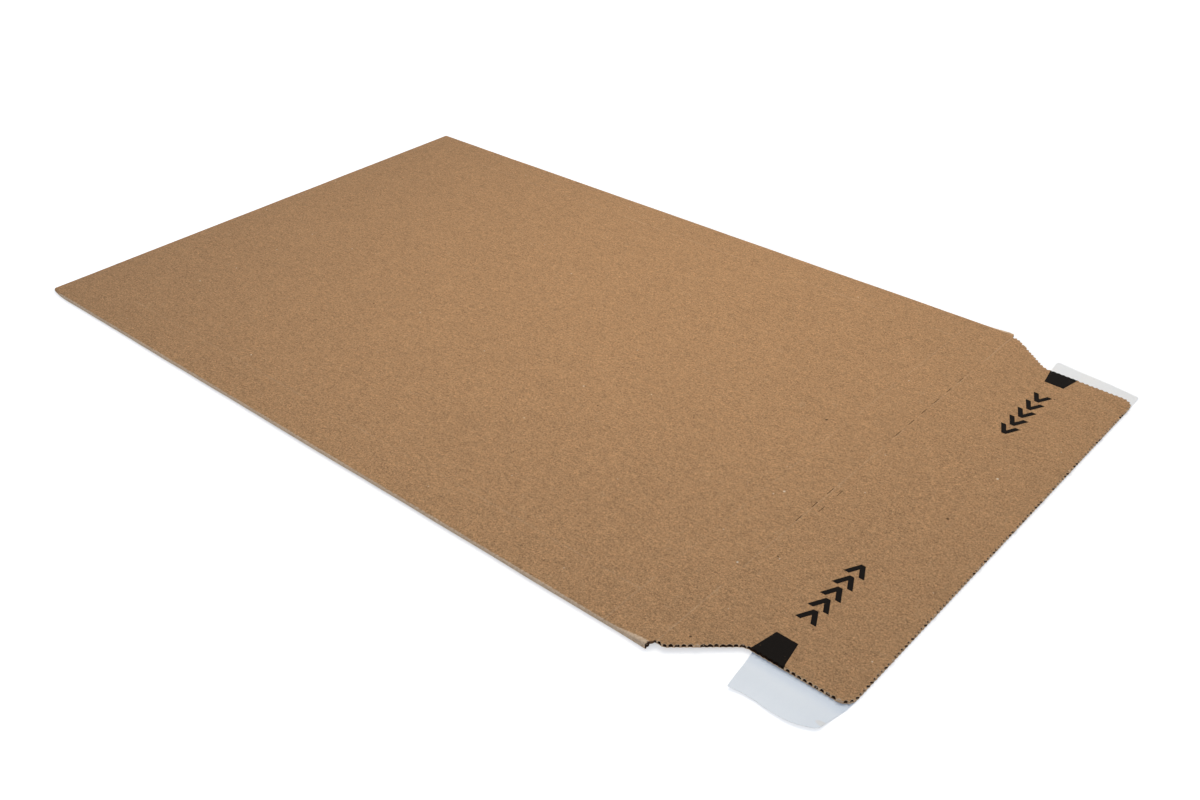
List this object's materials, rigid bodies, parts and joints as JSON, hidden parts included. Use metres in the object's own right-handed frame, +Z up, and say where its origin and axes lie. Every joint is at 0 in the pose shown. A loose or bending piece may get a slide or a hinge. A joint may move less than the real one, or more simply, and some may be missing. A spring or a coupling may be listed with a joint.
{
  "type": "cardboard envelope",
  "caption": "Flat cardboard envelope of fine corrugated board, open, with a hinged closing flap, tear tape, adhesive strip and release liner.",
  "frame": {"origin": "on the surface that the envelope lies on, under the middle of its bounding box", "axes": "+X from the closed end to the flap, +Y from the near long edge to the far one, +Z up"},
  "size_m": [0.414, 0.248, 0.0026],
  "materials": {
    "kraft_board": "matt, recycled brown kraft face paper with fine fibres",
    "film_tape": "clear yellowish film",
    "hot_melt": "glossy pale adhesive",
    "silicone_paper": "smooth, slightly glossy bluish white",
    "black_ink": "matt flexographic ink on the kraft face"
  },
  "bodies": {
    "sleeve": {"sleeve": "kraft_board"},
    "closing_flap": {"closing_flap": "kraft_board", "tear_tape": "film_tape", "adhesive_strip": "hot_melt", "release_liner": "silicone_paper", "near_tear_mark": "black_ink", "far_tear_mark": "black_ink", "near_arrows": "black_ink", "far_arrows": "black_ink"}
  },
  "joints": [
    {"name": "flap_crease", "type": "hinge", "parent": "sleeve", "child": "closing_flap", "pos_m": [0.14949, 0, 0.0005], "axis": [0, 1, 0], "range_deg": [-1, 178]}
  ]
}
